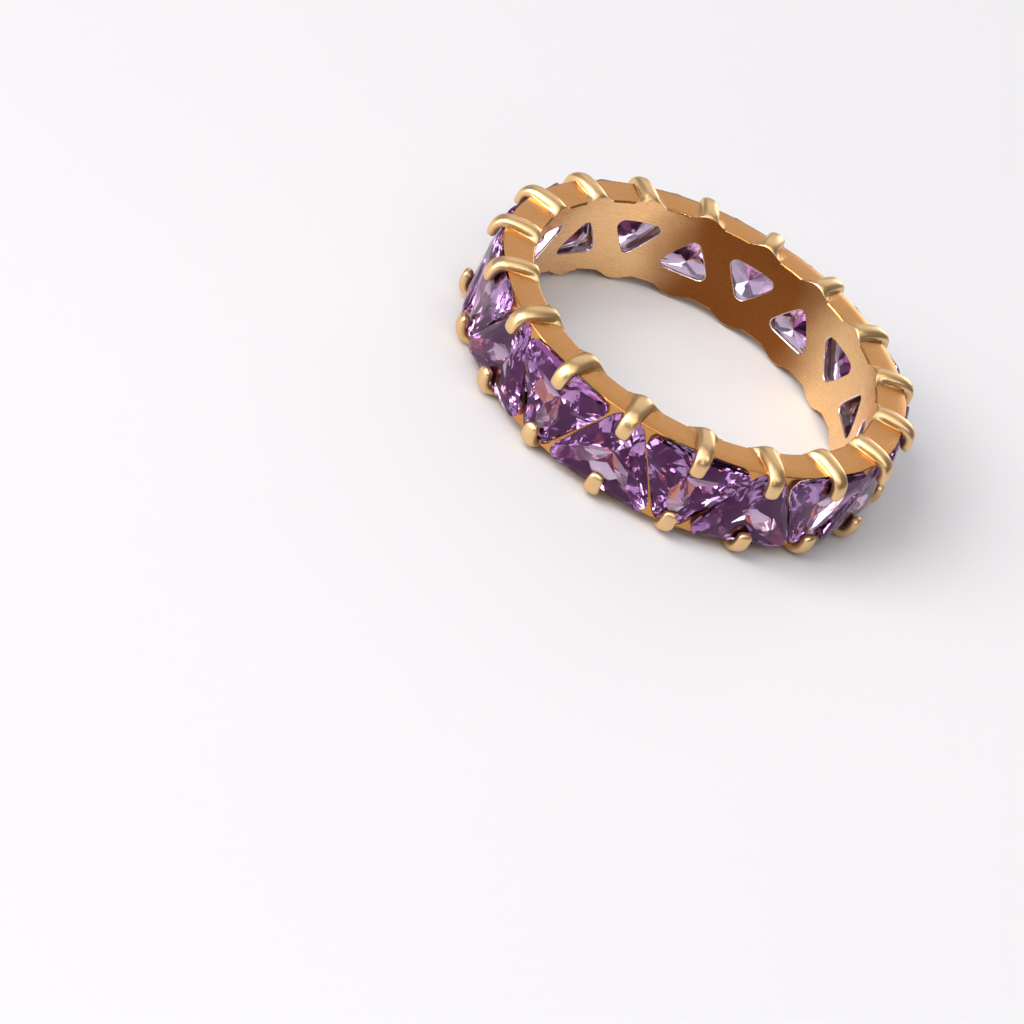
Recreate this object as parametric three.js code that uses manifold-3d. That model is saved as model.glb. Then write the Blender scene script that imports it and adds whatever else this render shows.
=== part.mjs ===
// Statement ring: an eternity band of eighteen trillion-cut stones.
//
// The metal is one cast piece. Two flat rails lie above and below a smooth inner wall, thin slanting
// fins part the stones, and a claw from each rail holds every stone. The stones point up and down in
// turn, so that they fill the band like tiles, and a window opens the inner wall behind each one.
//
// Units are millimetres. +Z is up, the ring lies on its lower claws, and the finger hole's axis is Z.

import * as THREE from 'three';
import { mergeVertices } from 'three/addons/utils/BufferGeometryUtils.js';
import Module from 'manifold-3d';

const wasm = await Module();
wasm.setup();

// ---- driving dimensions ------------------------------------------------------------------------

const STONE_COUNT = 18;
const FACETS_PER_STONE = 4; // flats of the round metal for each stone

const BORE_RADIUS = 8.65; // finger hole
const RAIL_RADIUS = 10.05; // outer edge of the flat rails
const FIN_RADIUS = 10.25; // outer face of the metal between the stones
const RAIL_HALF = 2.12; // from the middle plane to a rail's flat face
const LIP_DROP = 0.2; // how far a rail's outer edge slopes back to the fins

const CLAW_RISE = 0.42; // how far a claw stands above its rail
const CLAW_DEPTH = 0.3; // half a claw's thickness where it crosses the rail
const CLAW_WIDTH = 0.42; // half its width there
const TIP_DEPTH = 0.2; // half the thickness of its finger
const TIP_WIDTH = 0.34; // half the finger's width
const FINGER_RADIUS = 10.73; // middle of the finger, from the ring's axis
const FINGER_END = 1.3; // middle plane to the finger's end, before its rounding
const TIP_ROUNDING = 0.7; // the fingertip's last ring: how far on it is, and how small
const BEND_RADIUS = 9.6; // where a claw starts to bend over the rail's edge
const CLAW_SIDES = 8;
const BEND_STEPS = 4;

// Outlines stand base up. side and corner give the base corners' centres and radius, base and apex
// the heights of the base edge and of the apex from the middle plane.
const STONE_OUTLINE = { side: 2.04, corner: 0.45, base: 1.95, apexCorner: 0.98, apex: 2.0 };
const WINDOW_OUTLINE = { side: 0.83, corner: 0.3, base: 1.0, apexCorner: 0.3, apex: 0.8 };
const STONE_CORNER_STEPS = 3;
const WINDOW_CORNER_STEPS = 2;
const STONE_CENTRE = 0.325; // middle plane to the point that the facets close in on

// A stone's levels: distance from the ring's axis, and size against the outline.
const TABLE = { radius: 10.45, scale: 0.66 };
const CROWN_EDGE = { radius: 10.22, scale: 1 };
const GIRDLE = { radius: 10.14, scale: 1 };
const KEEL = { radius: 9.3, scale: 0.55 }; // steep pavilion facets outside it, shallow ones inside
const CULET = { radius: 8.74, scale: 0.06 };
const SEAT_GAP = 0.05; // clearance between a stone and the metal

const WINDOW_DEPTH = 0.95; // inner wall to the seat that a window opens into
const CUT_MARGIN = 0.5; // how far a cutting shape runs past the metal

const MIDDLE = RAIL_HALF + CLAW_RISE; // the lower claws' ridges are at height zero
const PITCH = (2 * Math.PI) / STONE_COUNT;
const FRONT = -Math.PI / 2; // the first stone faces -Y

// ---- materials ---------------------------------------------------------------------------------

const gold = { color: 0xcf9c62, metalness: 1, roughness: 0.35 };
const amethyst = { color: 0x6a4a96, metalness: 0, roughness: 0.08 };

// ---- solids from skins -------------------------------------------------------------------------

// A closed skin over a stack of rings that have the same number of points.
function loft(rings) {
  const count = rings[0].length;
  const last = (rings.length - 1) * count;
  const index = [];
  for (let start = 0; start < last; start += count) {
    for (let i = 0; i < count; i += 1) {
      const a = start + i;
      const b = start + ((i + 1) % count);
      index.push(a, b, b + count);
      index.push(a, b + count, a + count);
    }
  }
  for (let i = 1; i < count - 1; i += 1) {
    index.push(0, i + 1, i);
    index.push(last, last + i, last + i + 1);
  }
  const geometry = new THREE.BufferGeometry().setFromPoints(rings.flat());
  geometry.setIndex(index);
  return geometry;
}

function toSolid(geometry) {
  const bare = geometry.clone();
  bare.deleteAttribute('normal');
  bare.deleteAttribute('uv');
  const merged = mergeVertices(bare);
  const mesh = new wasm.Mesh({
    numProp: 3,
    vertProperties: new Float32Array(merged.getAttribute('position').array),
    triVerts: new Uint32Array(merged.getIndex().array),
  });
  return new wasm.Manifold(mesh);
}

function toGeometry(solid) {
  const { vertProperties, triVerts } = solid.getMesh();
  const geometry = new THREE.BufferGeometry();
  geometry.setAttribute('position', new THREE.BufferAttribute(vertProperties, 3));
  geometry.setIndex(new THREE.BufferAttribute(triVerts, 1));
  geometry.computeVertexNormals();
  return geometry;
}

// ---- places around the ring --------------------------------------------------------------------

// A point by its stone's place: distance from the axis, distance across, and height above the middle
// plane. A turned place is upside down, as it is for the stones and claws that mirror the first.
function pointAt(place, radius, across, height) {
  const side = place.turned ? -1 : 1;
  const x = radius * Math.cos(place.angle) - side * across * Math.sin(place.angle);
  const y = radius * Math.sin(place.angle) + side * across * Math.cos(place.angle);
  return new THREE.Vector3(x, y, MIDDLE + side * height);
}

// ---- stones, seats and windows -----------------------------------------------------------------

// A triangle with round corners, base up: a corner at each end of the base, and the apex below.
function trillion(outline, steps, grow) {
  const baseY = outline.base - outline.corner;
  const apexY = outline.apexCorner - outline.apex;
  const reach = Math.hypot(outline.side, baseY - apexY);
  const lean = Math.acos((outline.apexCorner - outline.corner) / reach);
  const flank = Math.atan2(baseY - apexY, outline.side) - lean; // direction that the right side faces
  const corners = [
    { x: outline.side, y: baseY, radius: outline.corner, from: flank, to: Math.PI / 2 },
    { x: -outline.side, y: baseY, radius: outline.corner, from: Math.PI / 2, to: Math.PI - flank },
    { x: 0, y: apexY, radius: outline.apexCorner, from: Math.PI - flank, to: 2 * Math.PI + flank },
  ];
  return corners.flatMap(({ x, y, radius, from, to }) => {
    const size = radius + grow;
    return new THREE.EllipseCurve(x, y, size, size, from, to).getPoints(steps);
  });
}

function stoneSkin(place, grow) {
  const outline = trillion(STONE_OUTLINE, STONE_CORNER_STEPS, grow);
  const levels = [
    { ...CULET, radius: CULET.radius - grow },
    { ...KEEL, radius: KEEL.radius - grow },
    { ...GIRDLE, radius: GIRDLE.radius - grow },
    { ...CROWN_EDGE, radius: CROWN_EDGE.radius + grow },
    { ...TABLE, radius: TABLE.radius + grow },
  ];
  const rings = levels.map(({ radius, scale }) =>
    outline.map(({ x, y }) => pointAt(place, radius, x * scale, STONE_CENTRE + (y - STONE_CENTRE) * scale)),
  );
  return loft(rings);
}

function windowSkin(place) {
  const outline = trillion(WINDOW_OUTLINE, WINDOW_CORNER_STEPS, 0);
  const radii = [BORE_RADIUS - CUT_MARGIN, BORE_RADIUS + WINDOW_DEPTH];
  return loft(radii.map((radius) => outline.map(({ x, y }) => pointAt(place, radius, x, y))));
}

// ---- claws -------------------------------------------------------------------------------------

// One ring of a claw's skin, square to its path. Its flat top is what the ring rests on.
function clawRing(place, centre, tangent, width, depth) {
  const flatten = 1 / Math.cos(Math.PI / CLAW_SIDES);
  const ring = [];
  for (let i = 0; i < CLAW_SIDES; i += 1) {
    const turn = ((i + 0.5) * 2 * Math.PI) / CLAW_SIDES;
    const across = width * flatten * Math.cos(turn);
    const rise = depth * flatten * Math.sin(turn);
    ring.push(pointAt(place, centre.x - rise * tangent.y, across, centre.y + rise * tangent.x));
  }
  return ring;
}

// A claw runs straight out over the rail, bends down over its edge and ends in a round fingertip.
function clawSkin(place) {
  const ridge = RAIL_HALF + CLAW_RISE - CLAW_DEPTH;
  const bend = new THREE.CubicBezierCurve(
    new THREE.Vector2(BEND_RADIUS, ridge),
    new THREE.Vector2(FINGER_RADIUS - TIP_DEPTH, ridge),
    new THREE.Vector2(FINGER_RADIUS, ridge - CLAW_DEPTH),
    new THREE.Vector2(FINGER_RADIUS, FINGER_END),
  );
  const outward = new THREE.Vector2(1, 0);
  const start = new THREE.Vector2(BORE_RADIUS - CUT_MARGIN, ridge);
  const rings = [clawRing(place, start, outward, CLAW_WIDTH, CLAW_DEPTH)];
  for (let step = 0; step <= BEND_STEPS; step += 1) {
    const t = step / BEND_STEPS;
    const width = THREE.MathUtils.lerp(CLAW_WIDTH, TIP_WIDTH, t);
    const depth = THREE.MathUtils.lerp(CLAW_DEPTH, TIP_DEPTH, t);
    rings.push(clawRing(place, bend.getPoint(t), bend.getTangent(t), width, depth));
  }
  const tip = new THREE.Vector2(FINGER_RADIUS, FINGER_END - TIP_DEPTH * TIP_ROUNDING);
  rings.push(clawRing(place, tip, bend.getTangent(1), TIP_WIDTH * TIP_ROUNDING, TIP_DEPTH * TIP_ROUNDING));
  return loft(rings);
}

// ---- band --------------------------------------------------------------------------------------

function bandBlank() {
  const innerRadius = BORE_RADIUS - CUT_MARGIN;
  const profile = [
    new THREE.Vector2(innerRadius, -RAIL_HALF),
    new THREE.Vector2(RAIL_RADIUS, -RAIL_HALF),
    new THREE.Vector2(FIN_RADIUS, LIP_DROP - RAIL_HALF),
    new THREE.Vector2(FIN_RADIUS, RAIL_HALF - LIP_DROP),
    new THREE.Vector2(RAIL_RADIUS, RAIL_HALF),
    new THREE.Vector2(innerRadius, RAIL_HALF),
    new THREE.Vector2(innerRadius, -RAIL_HALF),
  ];
  const blank = new THREE.LatheGeometry(profile, STONE_COUNT * FACETS_PER_STONE);
  return blank.rotateX(Math.PI / 2).translate(0, 0, MIDDLE);
}

function boreSkin() {
  const length = 2 * (MIDDLE + CUT_MARGIN);
  const bore = new THREE.CylinderGeometry(BORE_RADIUS, BORE_RADIUS, length, STONE_COUNT * FACETS_PER_STONE);
  return bore.rotateX(Math.PI / 2).translate(0, 0, MIDDLE);
}

function makeBand(places) {
  let metal = toSolid(bandBlank());
  for (const { angle } of places) {
    metal = metal.add(toSolid(clawSkin({ angle, turned: false })));
    metal = metal.add(toSolid(clawSkin({ angle, turned: true })));
  }
  metal = metal.subtract(toSolid(boreSkin()));
  for (const place of places) {
    metal = metal.subtract(toSolid(stoneSkin(place, SEAT_GAP)));
    metal = metal.subtract(toSolid(windowSkin(place)));
  }
  return toGeometry(metal);
}

// ---- the ring ----------------------------------------------------------------------------------

const places = [];
for (let i = 0; i < STONE_COUNT; i += 1) {
  places.push({ angle: FRONT + i * PITCH, turned: i % 2 === 1 });
}

const ring = new THREE.Group();

const band = new THREE.Mesh(makeBand(places), new THREE.MeshStandardMaterial(gold));
band.name = 'band';
ring.add(band);

places.forEach((place, i) => {
  const stone = new THREE.Mesh(stoneSkin(place, 0), new THREE.MeshStandardMaterial(amethyst));
  stone.name = `stone_${String(i + 1).padStart(2, '0')}`;
  ring.add(stone);
});

export default ring;
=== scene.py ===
"""Looks of the statement ring: an eternity band of eighteen trillion-cut purple stones in satin gold.

The ring lies on its lower claws on a pale studio floor. Shapes are worked out in millimetres around
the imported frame, and go into Blender in metres.
"""

import math
import random

import bmesh
import bpy
from mathutils import Matrix, Vector


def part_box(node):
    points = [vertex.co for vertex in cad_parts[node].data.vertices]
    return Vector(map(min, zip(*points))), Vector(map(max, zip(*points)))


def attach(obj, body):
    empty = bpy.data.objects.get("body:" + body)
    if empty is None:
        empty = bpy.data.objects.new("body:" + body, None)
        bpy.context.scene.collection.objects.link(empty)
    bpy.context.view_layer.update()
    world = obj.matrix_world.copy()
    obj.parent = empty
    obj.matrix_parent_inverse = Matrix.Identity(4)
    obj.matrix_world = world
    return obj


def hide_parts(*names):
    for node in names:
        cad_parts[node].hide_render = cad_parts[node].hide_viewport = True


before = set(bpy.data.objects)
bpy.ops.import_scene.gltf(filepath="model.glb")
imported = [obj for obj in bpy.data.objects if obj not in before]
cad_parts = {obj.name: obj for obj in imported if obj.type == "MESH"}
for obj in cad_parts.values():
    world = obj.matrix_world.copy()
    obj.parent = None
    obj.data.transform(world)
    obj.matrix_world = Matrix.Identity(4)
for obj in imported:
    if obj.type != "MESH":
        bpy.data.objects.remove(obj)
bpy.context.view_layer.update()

MM = 0.001

# ---- sizes taken from the frame, in millimetres --------------------------------------------------

band_low, band_high = (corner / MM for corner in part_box("band"))
stone_low, stone_high = (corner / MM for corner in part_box("stone_01"))
STONE_NAMES = sorted(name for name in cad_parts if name.startswith("stone_"))

MIDDLE = (band_low.z + band_high.z) / 2  # height of the ring's middle plane
CLAW_TOP = band_high.z - MIDDLE  # middle plane to the claws' ridges
TABLE_RADIUS = -stone_low.y  # stone_01 faces -Y: its table is its lowest y
CULET_RADIUS = -stone_high.y  # and its culet is its highest

PITCH = 2 * math.pi / len(STONE_NAMES)
FRONT = -math.pi / 2

# ---- sizes of the metal, in millimetres ----------------------------------------------------------

BORE_RADIUS = 8.65  # the finger hole
RAIL_HALF = 2.12  # middle plane to a rail's outer face
RAIL_CROWN = 9.65  # where that face begins to curve down to its outer edge
RAIL_FALL = 0.05  # how far it has come down at the edge
FIN_RADIUS = 10.25  # outer edge of the rails and of the fins between the stones
INNER_ROUND = 0.12  # rounding where the inner wall meets the rails
ROUND_START = BORE_RADIUS - 0.004  # the roundings run out just inside the wall
OUTER_ROUND = 0.08  # rounding of the rails' outer edge
CUT_MARGIN = 0.3  # spare metal inside the wall, and the tools' reach past it
BORE_MARGIN = 1  # reach of the finger hole's tool above the ring and below it

INNER_STEPS = 8  # steps in each curve of the rails' profile
CROWN_STEPS = 8
OUTER_STEPS = 6
TURN_STEPS = 432  # flats around the metal, a whole number for each stone

CLAW_WIDTH = 0.46  # half its width on the rail
CLAW_DEPTH = 0.32  # half its height on the rail
CLAW_FALL = 0.2  # how far its ridge comes down to the inner wall
CLAW_FALL_LENGTH = 0.65  # and over what length
CLAW_FALL_STEPS = 12
BEND_RADIUS = 9.45  # where it starts to bend over the rail's edge
BEND_OUT = 0.25  # the bend's control points: this far in from the finger
BEND_DOWN = 0.2  # and this far below the ridge
BEND_STEPS = 18
FINGER_RADIUS = 10.725  # middle of the finger that comes down over the stone
FINGER_WIDTH = 0.35  # half its width
FINGER_DEPTH = 0.2  # middle of the finger to its outer side
FINGER_SOLE = 0.3  # middle of the finger to its underside, which the stone then shapes
FINGER_END = 1.34  # height above the middle plane where the round tip starts
FINGER_TIP = 0.26  # length of the tip
TIP_SHARES = (0.25, 0.5, 0.7, 0.86, 0.96, 0.995)  # steps along the tip
RIDGE_SHAPE = 2.05  # power of a section's curve on the rail: 2 is an ellipse, and more is boxier
FINGER_SHAPE = 2.8  # the same at the finger
FILLET = 0.09  # where a claw runs into its rail
FILLET_END = 0.45  # share of the bend at which the fillet has run out
INNER_FILLET = 0.42  # the fillet at the inner wall, where the claw spreads
SPREAD_RADIUS = 9.3  # where that spread begins
SPREAD_POWER = 1.5  # how late it comes

# ---- sizes of the stones, seats and windows, in millimetres --------------------------------------

# Outlines are triangles with round corners, base up. Side is half the base, measured to its corners'
# middles, corner and apex_corner are radii, and base and apex are lengths from the middle plane.
OUTLINE = {"side": 2.06, "corner": 0.45, "base": 1.97, "apex_corner": 0.98, "apex": 2.02}
MOUTH = {**OUTLINE, "base": 2.02, "apex": 2.05}  # a seat's opening, closer to the rails than its stone
WINDOW = {"side": 0.83, "corner": 0.3, "base": 1.0, "apex_corner": 0.3, "apex": 0.8}
SIDE_BULGE = 0.02  # how far an outline's sides bow outwards
WINDOW_BULGE = 0.03
CORNER_STEPS = 8
SIDE_STEPS = 8
WINDOW_SIDE_STEPS = 6

CENTRE = 0.325  # height of the point that the facets close in on, above the middle plane
GIRDLE_TOP = 10.21  # radius of the girdle's upper edge
GIRDLE_FOOT = 10.15  # radius of its lower edge
PRISM_MARGIN = 0.5  # spare length at both ends of the prism that a stone is cut from
WELD_DISTANCE = 0.002  # corners closer than this become one
SEAT_GAP = 0.035  # clearance between a stone and its seat
CLAW_GAP = 0.008  # clearance between a stone and its claws
JITTER = 0.8  # most that a stone is tilted to each side, in degrees
SEED = 18

# Steps of the tool that opens a seat, from the girdle to past the claws: radius, and how much it grows.
MOUTH_STEPS = (
    (GIRDLE_FOOT - 0.1, 0.0),
    (GIRDLE_TOP - 0.03, 0.0),
    (FIN_RADIUS + 0.01, 0.035),
    (11.2, 0.05),
)
# Steps of the tool that opens a window, from the wall outwards: depth, and how much it grows.
# It starts with a soft rim, goes through a thin lip and then widens.
WINDOW_STEPS = (
    (-CUT_MARGIN, 0.05),
    (0, 0.05),
    (0.012, 0.022),
    (0.035, 0.006),
    (0.07, 0),
    (0.13, 0),
    (0.95, 0.5),
)


# ---- places around the ring ----------------------------------------------------------------------


def places():
    """Angle and side of each stone. Every second one is turned upside down."""
    return [(FRONT + i * PITCH, -1 if i % 2 else 1) for i in range(len(STONE_NAMES))]


def stone_matrix(angle, side):
    """From a stone's own frame, x across, y up and z out from the ring's axis, to the ring's."""
    out = Vector((math.cos(angle), math.sin(angle), 0))
    along = Vector((-math.sin(angle), math.cos(angle), 0))
    matrix = Matrix((side * along, side * Vector((0, 0, 1)), out)).transposed().to_4x4()
    matrix.translation = Vector((0, 0, MIDDLE))
    return matrix


def wrapped(angle, side, radius, across, up, reach):
    """A point laid around the ring: across is the length along a circle of that reach."""
    turn = angle + side * across / reach
    return Vector((radius * math.cos(turn), radius * math.sin(turn), MIDDLE + side * up))


def circle(radius, height):
    """Points around the ring's axis, at a height above the middle plane."""
    turns = [2 * math.pi * i / TURN_STEPS for i in range(TURN_STEPS)]
    return [Vector((radius * math.cos(t), radius * math.sin(t), MIDDLE + height)) for t in turns]


# ---- meshes --------------------------------------------------------------------------------------


def loft(bm, rings):
    """A closed skin over a stack of rings with the same number of points."""
    rows = [[bm.verts.new(point) for point in ring] for ring in rings]
    join_rows(bm, zip(rows, rows[1:]))
    bm.faces.new(list(reversed(rows[0])))
    bm.faces.new(rows[-1])


def join_rows(bm, pairs):
    """Faces between the two rings of vertices in each pair."""
    for low, high in pairs:
        for i in range(len(low)):
            j = (i + 1) % len(low)
            bm.faces.new((low[i], low[j], high[j], high[i]))


def make_object(name, bm, scale=1.0):
    """Puts a mesh into the scene, with its faces outwards."""
    if bm.calc_volume(signed=True) < 0:
        bmesh.ops.reverse_faces(bm, faces=bm.faces)
    mesh = bpy.data.meshes.new(name)
    bm.to_mesh(mesh)
    bm.free()
    if scale != 1.0:
        mesh.transform(Matrix.Scale(scale, 4))
    piece = bpy.data.objects.new(name, mesh)
    bpy.context.scene.collection.objects.link(piece)
    return piece


def cut(target, tool, operation):
    """Joins or cuts target with tool, and removes tool."""
    modifier = target.modifiers.new("cut", "BOOLEAN")
    modifier.operation = operation
    modifier.solver = "MANIFOLD"
    modifier.object = tool
    bpy.context.view_layer.update()
    result = bpy.data.meshes.new_from_object(
        target.evaluated_get(bpy.context.evaluated_depsgraph_get())
    )
    target.modifiers.clear()
    target.data = result
    bpy.data.objects.remove(tool)


def arc(x, y, radius, start, end, steps):
    """Points on part of a circle around (x, y), both ends included."""
    turns = (start + (end - start) * i / steps for i in range(steps + 1))
    return [(x + radius * math.cos(turn), y + radius * math.sin(turn)) for turn in turns]


def trillion(shape, side_steps, bulge, grow):
    """Points of a triangle with round corners and slightly bowed sides, and its right side's direction."""
    base_y = shape["base"] - shape["corner"]
    apex_y = shape["apex_corner"] - shape["apex"]
    reach = math.hypot(shape["side"], base_y - apex_y)
    lean = math.acos((shape["apex_corner"] - shape["corner"]) / reach)
    flank = math.atan2(base_y - apex_y, shape["side"]) - lean
    bow = 4 * bulge / (2 * shape["side"])  # how far a bowed side turns at its ends
    corners = (
        (shape["side"], base_y, shape["corner"], flank, math.pi / 2),
        (-shape["side"], base_y, shape["corner"], math.pi / 2, math.pi - flank),
        (0, apex_y, shape["apex_corner"], math.pi - flank, 2 * math.pi + flank),
    )
    arcs = []
    for x, y, radius, start, end in corners:
        arcs.append(arc(x, y, radius + grow, start + bow, end - bow, CORNER_STEPS))
    points = []
    for here, after in zip(arcs, arcs[1:] + arcs[:1]):
        points += here
        (x0, y0), (x1, y1) = here[-1], after[0]
        length = math.hypot(x1 - x0, y1 - y0)
        for i in range(1, side_steps):
            t = i / side_steps
            out = 4 * bulge * t * (1 - t) / length
            points.append((x0 + (x1 - x0) * t + (y1 - y0) * out, y0 + (y1 - y0) * t - (x1 - x0) * out))
    return points, flank


# ---- stones --------------------------------------------------------------------------------------

# Tiers of facets. Turns count from the nearest side's own direction, in degrees, to both sides of it.
# At the girdle a facet lies at its share of the outline's reach in that direction. Its plane meets the
# stone's axis at a level, in millimetres above the girdle for the crown and above the culet for the
# pavilion, where most planes would meet it below the culet.
# Round brings that reach towards a circle's, so that the facets near the culet spread evenly.
CROWN_TIERS = (
    {"turns": (0, 20, 40, 60), "share": 1.0, "level": 0.86, "round": 0},
    {"turns": (10, 30, 50), "share": 1.17, "level": 0.42, "round": 0},
)
PAVILION_TIERS = (
    {"turns": (0, 20, 40, 60), "share": 1.0, "level": -0.77, "round": 0},
    {"turns": (6, 28, 50), "share": 1.0, "level": -0.34, "round": 0},
    {"turns": (0, 18, 40, 60), "share": 1.0, "level": -0.17, "round": 0.2},
    {"turns": (10, 30, 50), "share": 1.0, "level": -0.04, "round": 0.5},
    {"turns": (0, 20, 40, 60), "share": 1.0, "level": 0, "round": 1},
)
CORNER_TURN = 60  # from a side to the next corner, whose facet is given once


def facet_planes(outline, flank, grow):
    """Every facet as a point on it and the way it faces."""
    middle = Vector((0, CENTRE))
    farthest = max((Vector(point) - middle).length for point in outline) - grow
    sides = (math.pi / 2, flank, math.pi - flank)
    depth = GIRDLE_FOOT - CULET_RADIUS
    planes = [(Vector((0, 0, TABLE_RADIUS + grow)), Vector((0, 0, 1)))]
    facets = [(tier, 1, GIRDLE_TOP + grow, tier["level"]) for tier in CROWN_TIERS]
    facets += [(tier, -1, GIRDLE_FOOT - grow, depth - tier["level"]) for tier in PAVILION_TIERS]
    for tier, sign, girdle, height in facets:
        for turn in tier["turns"]:
            turns = (turn, -turn) if 0 < turn < CORNER_TURN else (turn,)
            for way in [side + math.radians(angle) for side in sides for angle in turns]:
                out = Vector((math.cos(way), math.sin(way), 0))
                reach = max((Vector(point) - middle).dot(out.xy) for point in outline) - grow
                reach = (reach + (farthest - reach) * tier["round"]) * tier["share"]
                steep = math.atan2(height, reach)
                normal = out * math.sin(steep) + Vector((0, 0, sign * math.cos(steep)))
                planes.append((Vector((0, CENTRE, girdle)) + out * (reach + grow), normal))
    return planes


def gem(grow=0.0):
    """A trillion cut from its outline's prism, one plane for each facet."""
    outline, flank = trillion(OUTLINE, SIDE_STEPS, SIDE_BULGE, grow)
    bm = bmesh.new()
    levels = (CULET_RADIUS - PRISM_MARGIN, TABLE_RADIUS + PRISM_MARGIN)
    loft(bm, [[Vector((x, y, z)) for x, y in outline] for z in levels])
    for point, normal in facet_planes(outline, flank, grow):
        everything = bm.verts[:] + bm.edges[:] + bm.faces[:]
        bmesh.ops.bisect_plane(bm, geom=everything, plane_co=point, plane_no=normal, clear_outer=True)
        rim = [edge for edge in bm.edges if edge.is_boundary]
        if rim:
            bmesh.ops.holes_fill(bm, edges=rim, sides=0)
    bmesh.ops.remove_doubles(bm, verts=bm.verts, dist=WELD_DISTANCE)
    bmesh.ops.recalc_face_normals(bm, faces=bm.faces)
    return bm


def gems_together(stone_places, grow):
    """One mesh with a grown stone at every place, as a tool."""
    together = bmesh.new()
    for matrix in stone_places:
        one = gem(grow)
        one.transform(matrix)
        mesh = bpy.data.meshes.new("copy")
        one.to_mesh(mesh)
        one.free()
        together.from_mesh(mesh)
        bpy.data.meshes.remove(mesh)
    return together


# ---- metal ---------------------------------------------------------------------------------------


def inner_drop(radius, length, depth):
    """How far a face is lowered at this radius, where it curves down to the inner wall."""
    inside = min(max(ROUND_START + length - radius, 0), length) / length
    return depth - depth * math.sqrt(1 - inside**2)


def curve_radii(length, steps):
    """Radii from the inner wall outwards, closest together where that curve is steepest."""
    return [ROUND_START + length * (1 - math.cos(i * math.pi / 2 / steps)) for i in range(steps + 1)]


def blank():
    """The metal before it is cut: a turned ring with flat rails and round edges."""
    top = [(BORE_RADIUS - CUT_MARGIN, RAIL_HALF - INNER_ROUND)]
    for radius in curve_radii(INNER_ROUND, INNER_STEPS):
        top.append((radius, RAIL_HALF - inner_drop(radius, INNER_ROUND, INNER_ROUND)))
    edge = FIN_RADIUS - OUTER_ROUND
    width = edge - RAIL_CROWN
    for i in range(CROWN_STEPS):
        top.append((RAIL_CROWN + width * i / CROWN_STEPS, RAIL_HALF - RAIL_FALL * (i / CROWN_STEPS) ** 2))
    top += arc(edge, RAIL_HALF - RAIL_FALL - OUTER_ROUND, OUTER_ROUND, math.pi / 2, 0, OUTER_STEPS)
    profile = top + [(radius, -height) for radius, height in reversed(top)]
    bm = bmesh.new()
    rows = [[bm.verts.new(point) for point in circle(radius, height)] for radius, height in profile]
    join_rows(bm, zip(rows, rows[1:] + rows[:1]))
    return bm


def bezier(points, t):
    """Point and direction on a cubic curve."""
    a, b, c, d = (Vector(point) for point in points)
    s = 1 - t
    point = a * s**3 + b * 3 * s * s * t + c * 3 * s * t * t + d * t**3
    way = (b - a) * s * s + (c - b) * 2 * s * t + (d - c) * t * t
    return point, way.normalized()


# Directions from a claw's middle to the points of its section, closer together at the fillet.
CLAW_SIDE = (78, 66, 54, 43, 33, 24, 16, 9, 3, -4, -8, -12, -16, -20, -24, -34, -50, -70)
CLAW_TURNS = (90,) + CLAW_SIDE + (-90,) + tuple(-180 - turn for turn in reversed(CLAW_SIDE))


def claw_section(centre, way, width, depth, sole, shape, fillet):
    """A claw's section as (radius, across, up), square to its path in the plane through the axis."""
    section = []
    for turn in CLAW_TURNS:
        along, rise = math.cos(math.radians(turn)), math.sin(math.radians(turn))
        across = width * math.copysign(abs(along) ** (2 / shape), along)
        rise = (depth if rise > 0 else sole) * math.copysign(abs(rise) ** (2 / shape), rise)
        radius = centre.x - rise * way.y
        up = centre.y + rise * way.x
        if fillet > 0 and abs(turn) != 90:
            above = min(max(fillet - (up - RAIL_HALF), 0), fillet)
            across += math.copysign(fillet - math.sqrt(fillet**2 - above**2), across)
        section.append((radius, across, up))
    return section


def claw(angle, side):
    """Rings of one claw: along its rail, over the edge, and down to a round fingertip."""
    ridge = CLAW_TOP - CLAW_DEPTH
    sections = []
    for radius in [BORE_RADIUS - CUT_MARGIN] + curve_radii(CLAW_FALL_LENGTH, CLAW_FALL_STEPS)[:-1]:
        centre = Vector((radius, ridge - inner_drop(radius, CLAW_FALL_LENGTH, CLAW_FALL)))
        spread = min(max((SPREAD_RADIUS - radius) / (SPREAD_RADIUS - BORE_RADIUS), 0), 1) ** SPREAD_POWER
        fillet = FILLET + (INNER_FILLET - FILLET) * spread
        sizes = (CLAW_WIDTH, CLAW_DEPTH, CLAW_DEPTH, RIDGE_SHAPE, fillet)
        sections.append(claw_section(centre, Vector((1, 0)), *sizes))
    path = (
        (BEND_RADIUS, ridge),
        (FINGER_RADIUS - BEND_OUT, ridge),
        (FINGER_RADIUS, ridge - BEND_DOWN),
        (FINGER_RADIUS, FINGER_END),
    )
    for i in range(BEND_STEPS + 1):
        t = i / BEND_STEPS
        point, way = bezier(path, t)
        width = CLAW_WIDTH + (FINGER_WIDTH - CLAW_WIDTH) * t
        depth = CLAW_DEPTH + (FINGER_DEPTH - CLAW_DEPTH) * t
        sole = CLAW_DEPTH + (FINGER_SOLE - CLAW_DEPTH) * t
        shape = RIDGE_SHAPE + (FINGER_SHAPE - RIDGE_SHAPE) * t
        fillet = FILLET * max(0.0, 1 - t / FILLET_END)
        sections.append(claw_section(point, way, width, depth, sole, shape, fillet))
    for share in TIP_SHARES:
        size = math.sqrt(1 - share * share)
        point = Vector((FINGER_RADIUS, FINGER_END - FINGER_TIP * share))
        sizes = (FINGER_WIDTH * size, FINGER_DEPTH * size, FINGER_SOLE * size, FINGER_SHAPE, 0)
        sections.append(claw_section(point, Vector((0, -1)), *sizes))
    return [[wrapped(angle, side, r, across, up, r) for r, across, up in ring] for ring in sections]


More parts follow.
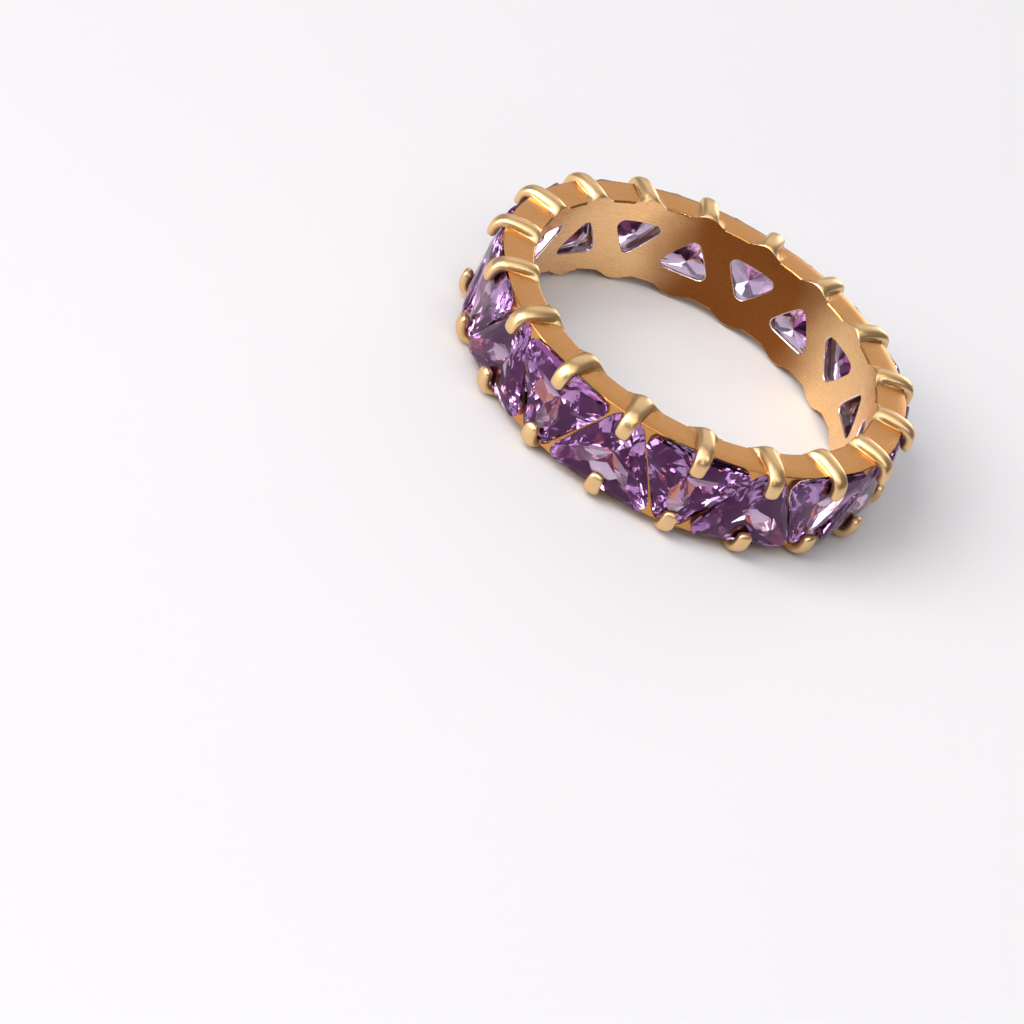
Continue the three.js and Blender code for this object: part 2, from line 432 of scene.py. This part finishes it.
def window(angle, side):
    """Rings of the tool that opens the inner wall behind a stone."""
    rings = []
    for depth, grow in WINDOW_STEPS:
        points, _ = trillion(WINDOW, WINDOW_SIDE_STEPS, WINDOW_BULGE, grow)
        rings.append([wrapped(angle, side, BORE_RADIUS + depth, x, y, BORE_RADIUS) for x, y in points])
    return rings


def seat_mouth(matrix):
    """Rings of the tool that opens a seat outwards and softens the fins' edges."""
    rings = []
    for radius, grow in MOUTH_STEPS:
        points, _ = trillion(MOUTH, SIDE_STEPS, SIDE_BULGE, SEAT_GAP + grow)
        rings.append([matrix @ Vector((x, y, radius)) for x, y in points])
    return rings


def lofted(name, stacks):
    """One object with a skin over every stack of rings."""
    tool = bmesh.new()
    for rings in stacks:
        loft(tool, rings)
    return make_object(name, tool)


def make_band(stone_places):
    """The casting: seats and mouths cut first, then claws added, then the hole and windows cut."""
    band = make_object("gold_band", blank())
    cut(band, make_object("seats", gems_together(stone_places, SEAT_GAP)), "DIFFERENCE")
    cut(band, lofted("mouths", [seat_mouth(matrix) for matrix in stone_places]), "DIFFERENCE")
    claws = lofted("claws", [claw(angle, side) for angle, _ in places() for side in (1, -1)])
    cut(claws, make_object("beds", gems_together(stone_places, CLAW_GAP)), "DIFFERENCE")
    cut(band, claws, "UNION")
    ends = (-MIDDLE - BORE_MARGIN, MIDDLE + BORE_MARGIN)
    cut(band, lofted("bore", [[circle(BORE_RADIUS, height) for height in ends]]), "DIFFERENCE")
    cut(band, lofted("windows", [window(angle, side) for angle, side in places()]), "DIFFERENCE")
    band.data.transform(Matrix.Scale(MM, 4))
    return band


# ---- materials -----------------------------------------------------------------------------------

# Noise scales count per metre. Colours go from a noise's low end to its high end.
CLOUD_SCALE = 900
BRUSH_SCALE = 16000
PATCH_SCALE = 260
ZONING_SCALE = 350
BUMP_DISTANCE = 0.000006  # metres
GLOSS_SPREAD = 0.01  # how far the brushing varies a gold's roughness
RELIEF_SPREAD = 0.2  # and how much further for each unit of relief
# Painted shade on the inner wall: its brushed gold is painted darker on one side of the ring, standing in
# for the reflection of the shadowed floor inside the bore.
PAINTED_SHADE_TURN = 70  # where around the ring the inner wall's painted shade is darkest, in degrees
PAINTED_SHADE_COLOUR = (0.23, 0.075, 0.018)
PAINTED_SHADE_START = 0.84  # the cosine of the turn from there, plus its patches, at which the painted shade starts
PAINTED_SHADE_FULL = 1.04  # and at which it is full
PAINTED_SHADE_RAGGED = 0.16  # most that the patches add

# The finishes, in the order of their material numbers.
FINISHES = (
    {"name": "gold_satin", "low": (0.635, 0.315, 0.107), "high": (0.575, 0.27, 0.083),
     "roughness": 0.27, "streak": 5, "relief": 0, "painted_shade": False},
    # the inner wall's gold, which carries the painted shade
    {"name": "gold_brushed", "low": (0.97, 0.63, 0.32), "high": (0.89, 0.55, 0.26),
     "roughness": 0.28, "streak": 14, "relief": 0.3, "painted_shade": True},
    {"name": "gold_seat", "low": (0.90, 0.76, 0.72), "high": (0.82, 0.68, 0.64),
     "roughness": 0.25, "streak": 1, "relief": 0, "painted_shade": False},
    {"name": "gold_claw", "low": (0.85, 0.58, 0.30), "high": (0.77, 0.50, 0.235),
     "roughness": 0.32, "streak": 1, "relief": 0, "painted_shade": False},
)
BRUSHED, SEAT, CLAW = 1, 2, 3

STONE_INDEX = 2.15  # refraction
STONE_GLINT = (0.56, 0.19, 0.56)  # colour of its mirror reflections, inside and out
STONE_TINTS = ((0.87, 0.79, 0.89), (0.76, 0.64, 0.82))
STONE_POLISH = (0.0, 0.03)  # roughness
STONE_BODY = (0.60, 0.28, 0.67)  # colour that is left after a path through the stone
STONE_DENSITY = 370  # for each metre of that path

FLOOR_TINTS = ((0.62, 0.62, 0.64), (0.65, 0.65, 0.67))
FLOOR_ROUGHNESS = 0.6
FLOOR_SPECULAR = 0.3
FLOOR_GRAIN = 60  # patches across the floor


def new_material(name):
    """A material with one shader, and the parts that its builder needs."""
    material = bpy.data.materials.new(name)
    material.use_nodes = True
    nodes = material.node_tree.nodes
    nodes.clear()
    output = nodes.new("ShaderNodeOutputMaterial")
    shader = nodes.new("ShaderNodeBsdfPrincipled")
    material.node_tree.links.new(shader.outputs["BSDF"], output.inputs["Surface"])
    return material, nodes, material.node_tree.links, shader, output


def add_math(nodes, links, operation, first, second):
    """A sum of two inputs, where second may be a socket or a number."""
    node = nodes.new("ShaderNodeMath")
    node.operation = operation
    links.new(first, node.inputs[0])
    if isinstance(second, bpy.types.NodeSocket):
        links.new(second, node.inputs[1])
    else:
        node.inputs[1].default_value = second
    return node.outputs[0]


def add_noise(nodes, links, vector, scale, detail):
    """Soft patches over the places that vector gives."""
    noise = nodes.new("ShaderNodeTexNoise")
    noise.inputs["Scale"].default_value = scale
    noise.inputs["Detail"].default_value = detail
    links.new(vector, noise.inputs["Vector"])
    return noise.outputs["Fac"]


def add_blend(nodes, links, share, low, high):
    """A colour between low and high, each a socket or three numbers."""
    blend = nodes.new("ShaderNodeMix")
    blend.data_type = "RGBA"
    links.new(share, blend.inputs["Factor"])
    for name, colour in (("A", low), ("B", high)):
        if isinstance(colour, bpy.types.NodeSocket):
            links.new(colour, blend.inputs[name])
        else:
            blend.inputs[name].default_value = (*colour, 1)
    return blend.outputs["Result"]


def add_range(nodes, links, value, low, high):
    """A value spread from low to high."""
    spread = nodes.new("ShaderNodeMapRange")
    spread.inputs["To Min"].default_value = low
    spread.inputs["To Max"].default_value = high
    links.new(value, spread.inputs["Value"])
    return spread.outputs["Result"]


def gold_material(name, low, high, roughness, streak, relief, painted_shade):
    """Satin gold: streak stretches its fine brushing along the ring's circumference.

    Where asked, painted shade darkens its colour on one side of the ring, standing in for the reflection
    of shadowed floor.
    """
    material, nodes, links, shader, _ = new_material(name)
    shader.inputs["Metallic"].default_value = 1.0
    place = nodes.new("ShaderNodeTexCoord").outputs["Object"]
    parts = nodes.new("ShaderNodeSeparateXYZ")
    links.new(place, parts.inputs[0])
    turn = add_math(nodes, links, "ARCTAN2", parts.outputs["Y"], parts.outputs["X"])
    arc_length = add_math(nodes, links, "MULTIPLY", turn, BORE_RADIUS * MM / streak)
    flat = nodes.new("ShaderNodeVectorMath")
    flat.operation = "MULTIPLY"
    flat.inputs[1].default_value = (1, 1, 0)
    links.new(place, flat.inputs[0])
    radius = nodes.new("ShaderNodeVectorMath")
    radius.operation = "LENGTH"
    links.new(flat.outputs[0], radius.inputs[0])
    unrolled = nodes.new("ShaderNodeCombineXYZ")
    links.new(arc_length, unrolled.inputs["X"])
    links.new(radius.outputs["Value"], unrolled.inputs["Y"])
    links.new(parts.outputs["Z"], unrolled.inputs["Z"])

    tint = add_blend(nodes, links, add_noise(nodes, links, place, CLOUD_SCALE, detail=3), low, high)
    # painted shade: the colour darkens on one side of the ring, for the reflection of the shadowed floor
    if painted_shade:
        tint = add_blend(nodes, links, painted_shade_depth(nodes, links, place, turn), tint, PAINTED_SHADE_COLOUR)
    links.new(tint, shader.inputs["Base Color"])

    brushing = add_noise(nodes, links, unrolled.outputs[0], BRUSH_SCALE, detail=2)
    spread = GLOSS_SPREAD + RELIEF_SPREAD * relief
    gloss = add_range(nodes, links, brushing, roughness - spread, roughness + spread)
    links.new(gloss, shader.inputs["Roughness"])
    if relief:
        bump = nodes.new("ShaderNodeBump")
        bump.inputs["Strength"].default_value = relief
        bump.inputs["Distance"].default_value = BUMP_DISTANCE
        links.new(brushing, bump.inputs["Height"])
        links.new(bump.outputs["Normal"], shader.inputs["Normal"])
    return material


def painted_shade_depth(nodes, links, place, turn):
    """How deep the painted shade is, from 1 at its darkest turn to 0 away from it, with a ragged edge."""
    patches = add_noise(nodes, links, place, PATCH_SCALE, detail=2)
    away = add_math(nodes, links, "SUBTRACT", turn, math.radians(PAINTED_SHADE_TURN))
    nearness = nodes.new("ShaderNodeMath")
    nearness.operation = "COSINE"
    links.new(away, nearness.inputs[0])
    ragged = nodes.new("ShaderNodeMath")
    ragged.operation = "MULTIPLY_ADD"
    ragged.inputs[1].default_value = PAINTED_SHADE_RAGGED
    links.new(patches, ragged.inputs[0])
    links.new(nearness.outputs[0], ragged.inputs[2])
    depth = nodes.new("ShaderNodeMapRange")
    depth.interpolation_type = "SMOOTHSTEP"
    depth.inputs["From Min"].default_value = PAINTED_SHADE_START
    depth.inputs["From Max"].default_value = PAINTED_SHADE_FULL
    links.new(ragged.outputs[0], depth.inputs["Value"])
    return depth.outputs["Result"]


def stone_material():
    """Clear purple that darkens with the light's path through it, with faint zones of colour."""
    material, nodes, links, shader, output = new_material("purple_stone")
    shader.inputs["Transmission Weight"].default_value = 1.0
    shader.inputs["IOR"].default_value = STONE_INDEX
    shader.inputs["Specular Tint"].default_value = (*STONE_GLINT, 1)
    place = nodes.new("ShaderNodeTexCoord").outputs["Object"]
    zoning = add_noise(nodes, links, place, ZONING_SCALE, detail=1)
    links.new(add_blend(nodes, links, zoning, *STONE_TINTS), shader.inputs["Base Color"])
    links.new(add_range(nodes, links, zoning, *STONE_POLISH), shader.inputs["Roughness"])
    body = nodes.new("ShaderNodeVolumeAbsorption")
    body.inputs["Color"].default_value = (*STONE_BODY, 1)
    body.inputs["Density"].default_value = STONE_DENSITY
    links.new(body.outputs["Volume"], output.inputs["Volume"])
    return material


def floor_material():
    """Matt pale floor with very faint patches."""
    material, nodes, links, shader, _ = new_material("studio_floor")
    shader.inputs["Roughness"].default_value = FLOOR_ROUGHNESS
    shader.inputs["Specular IOR Level"].default_value = FLOOR_SPECULAR
    place = nodes.new("ShaderNodeTexCoord").outputs["Generated"]
    grain = add_noise(nodes, links, place, FLOOR_GRAIN, detail=2)
    links.new(add_blend(nodes, links, grain, *FLOOR_TINTS), shader.inputs["Base Color"])
    return material


# ---- studio --------------------------------------------------------------------------------------

CAMERA_TURN = math.radians(-104.9)  # where the camera stands around the ring
CAMERA_RISE = math.radians(32.64)
CAMERA_ROLL = math.radians(30.0)
CAMERA_DISTANCE = 260.6  # millimetres from the ring's middle
RING_RIGHT = 8.01  # how far right of the picture's middle the ring stands, in millimetres
RING_ABOVE = 6.98  # and how far above it
LENS = 200
SENSOR_WIDTH = 36
CLIP_START = 0.01  # metres

FLOOR_RADIUS = 1.5  # metres
FLOOR_SEGMENTS = 96
WALL_DARK = (0.12, 0.115, 0.12)
WALL_BRIGHT = (0.35, 0.34, 0.35)
BRIGHT_TURN = 120  # the side of the studio whose walls are brightest, in degrees

# Square soft lights that face the ring. Turn and rise are in degrees, size in metres, power in watts.
LIGHT_DISTANCE = 0.80  # metres
WARM = (1, 0.98, 0.95)
SOFT = (1, 0.98, 0.97)
WHITE = (1, 1, 1)
LIGHTS = (
    {"name": "key", "turn": 200, "rise": 42, "size": 0.50, "power": 5.4, "colour": WARM},
    {"name": "back", "turn": 78, "rise": 36, "size": 0.70, "power": 0.9, "colour": SOFT},
    {"name": "top", "turn": -100, "rise": 82, "size": 0.60, "power": 1.2, "colour": SOFT},
    {"name": "front", "turn": -100, "rise": 50, "size": 0.50, "power": 1.3, "colour": SOFT},
    {"name": "back_low", "turn": 60, "rise": 9, "size": 0.30, "power": 0.75, "colour": SOFT},
    {"name": "right", "turn": -42, "rise": 48, "size": 0.40, "power": 0.5, "colour": SOFT},
    {"name": "left_low", "turn": 200, "rise": 14, "size": 0.60, "power": 3.8, "colour": SOFT},
)
# Small ones for sparkle in the stones: letter, turn and rise.
SPARKS = (
    ("a", 150, 60),
    ("b", -50, 50),
    ("c", -80, 22),
    ("d", -130, 24),
    ("e", -165, 35),
    ("f", 190, 25),
    ("g", 215, 52),
    ("h", 172, 42),
)
SPARK_SIZE = 0.04
SPARK_POWER = 0.2


def direction(turn, rise):
    """A unit vector at a turn around the ring and a rise above the floor, in radians."""
    flat = math.cos(rise)
    return Vector((flat * math.cos(turn), flat * math.sin(turn), math.sin(rise)))


def add_camera():
    """The photo's viewpoint: rolled, with the ring off the picture's middle."""
    back = direction(CAMERA_TURN, CAMERA_RISE)
    level = Vector((0, 0, 1)).cross(back).normalized()
    upright = back.cross(level)
    right = level * math.cos(CAMERA_ROLL) + upright * math.sin(CAMERA_ROLL)
    up = upright * math.cos(CAMERA_ROLL) - level * math.sin(CAMERA_ROLL)
    centre = Vector((0, 0, MIDDLE))
    place = centre - right * RING_RIGHT - up * RING_ABOVE + back * CAMERA_DISTANCE
    data = bpy.data.cameras.new("camera")
    data.lens = LENS
    data.sensor_width = SENSOR_WIDTH
    data.clip_start = CLIP_START
    camera = bpy.data.objects.new("camera", data)
    camera.matrix_world = Matrix.Translation(place * MM) @ Matrix((right, up, back)).transposed().to_4x4()
    bpy.context.scene.collection.objects.link(camera)
    bpy.context.scene.camera = camera


def add_light(name, turn, rise, size, power, colour):
    """A square soft light that faces the ring."""
    data = bpy.data.lights.new(name, "AREA")
    data.size = size
    data.energy = power
    data.color = colour
    light = bpy.data.objects.new(name, data)
    way = direction(math.radians(turn), math.radians(rise))
    facing = way.to_track_quat("Z", "Y").to_matrix().to_4x4()
    light.matrix_world = Matrix.Translation(way * LIGHT_DISTANCE) @ facing
    bpy.context.scene.collection.objects.link(light)


def add_world():
    """Studio walls, brightest towards BRIGHT_TURN and darkest opposite."""
    world = bpy.data.worlds.new("studio")
    bpy.context.scene.world = world
    world.use_nodes = True
    nodes, links = world.node_tree.nodes, world.node_tree.links
    sky = nodes["Background"]
    place = nodes.new("ShaderNodeTexCoord")
    toward = nodes.new("ShaderNodeVectorMath")
    toward.operation = "DOT_PRODUCT"
    toward.inputs[1].default_value = direction(math.radians(BRIGHT_TURN), 0)
    links.new(place.outputs["Generated"], toward.inputs[0])
    share = nodes.new("ShaderNodeMapRange")
    share.inputs["From Min"].default_value = -1
    links.new(toward.outputs["Value"], share.inputs["Value"])
    ramp = nodes.new("ShaderNodeValToRGB")
    ramp.color_ramp.elements[0].color = (*WALL_DARK, 1)
    ramp.color_ramp.elements[1].color = (*WALL_BRIGHT, 1)
    links.new(share.outputs["Result"], ramp.inputs["Fac"])
    links.new(ramp.outputs["Color"], sky.inputs["Color"])
    sky.inputs["Strength"].default_value = 1.0


def add_studio():
    """Floor, walls and lights."""
    bm = bmesh.new()
    bmesh.ops.create_circle(bm, cap_ends=True, segments=FLOOR_SEGMENTS, radius=FLOOR_RADIUS)
    floor = make_object("floor", bm)
    floor.data.materials.append(floor_material())
    add_world()
    for light in LIGHTS:
        add_light(**light)
    for letter, turn, rise in SPARKS:
        add_light("spark_" + letter, turn, rise, SPARK_SIZE, SPARK_POWER, WHITE)


# ---- the ring ------------------------------------------------------------------------------------

# Limits between the finishes, in millimetres: a face's farthest corner, and its middle's height.
WALL_LIMIT = BORE_RADIUS + 0.001
SEAT_LIMIT = FIN_RADIUS - 0.03
SEAT_HEIGHT = RAIL_HALF - 0.2
CLAW_HEIGHT = RAIL_HALF + 0.01
CLAW_LIMIT = FIN_RADIUS + 0.02
SHARP_ANGLE = math.radians(32)  # edges sharper than this stay sharp


def jitter(dice):
    """A hand-set stone sits a fraction of a degree off true."""
    centre = Matrix.Translation((0, CENTRE, GIRDLE_TOP))
    tilt = Matrix.Rotation(math.radians(dice.uniform(-JITTER, JITTER)), 4, "X")
    tilt = tilt @ Matrix.Rotation(math.radians(dice.uniform(-JITTER, JITTER)), 4, "Y")
    return centre @ tilt @ centre.inverted()


def assign_metal(band):
    """Inner wall brushed, seats plain, claws yellower, everything else satin."""
    radii = [math.hypot(vertex.co.x, vertex.co.y) / MM for vertex in band.data.vertices]
    for polygon in band.data.polygons:
        reach = max(radii[i] for i in polygon.vertices)
        height = abs(polygon.center.z / MM - MIDDLE)
        if reach < WALL_LIMIT:
            polygon.material_index = BRUSHED
        elif reach < SEAT_LIMIT and height < SEAT_HEIGHT:
            polygon.material_index = SEAT
        elif height > CLAW_HEIGHT or reach > CLAW_LIMIT:
            polygon.material_index = CLAW


def shade_metal(band):
    """Smooth shading that keeps sharp edges, and keeps the roundings' bend off the inner wall."""
    band.data.shade_smooth()
    band.data.set_sharp_from_angle(angle=SHARP_ANGLE)
    bm = bmesh.new()
    bm.from_mesh(band.data)
    for edge in bm.edges:
        on_wall = [face.material_index == BRUSHED for face in edge.link_faces]
        if any(on_wall) and not all(on_wall):
            edge.smooth = False
    bm.to_mesh(band.data)
    bm.free()
    weighted = band.modifiers.new("weighted_normals", "WEIGHTED_NORMAL")
    weighted.keep_sharp = True


def make_ring():
    """The eighteen stones and the band that holds them."""
    dice = random.Random(SEED)
    stone_places = [stone_matrix(angle, side) @ jitter(dice) for angle, side in places()]
    purple = stone_material()
    for name, matrix in zip(STONE_NAMES, stone_places):
        bm = gem()
        bm.transform(matrix)
        stone = make_object("cut_" + name, bm, MM)
        stone.data.materials.append(purple)
        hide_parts(name)
        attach(stone, "root")
    band = make_band(stone_places)
    band.data.materials.clear()
    for finish in FINISHES:
        band.data.materials.append(gold_material(**finish))
    assign_metal(band)
    shade_metal(band)
    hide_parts("band")
    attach(band, "root")


add_camera()
add_studio()
make_ring()

scene = bpy.context.scene
scene.view_settings.view_transform = "Standard"
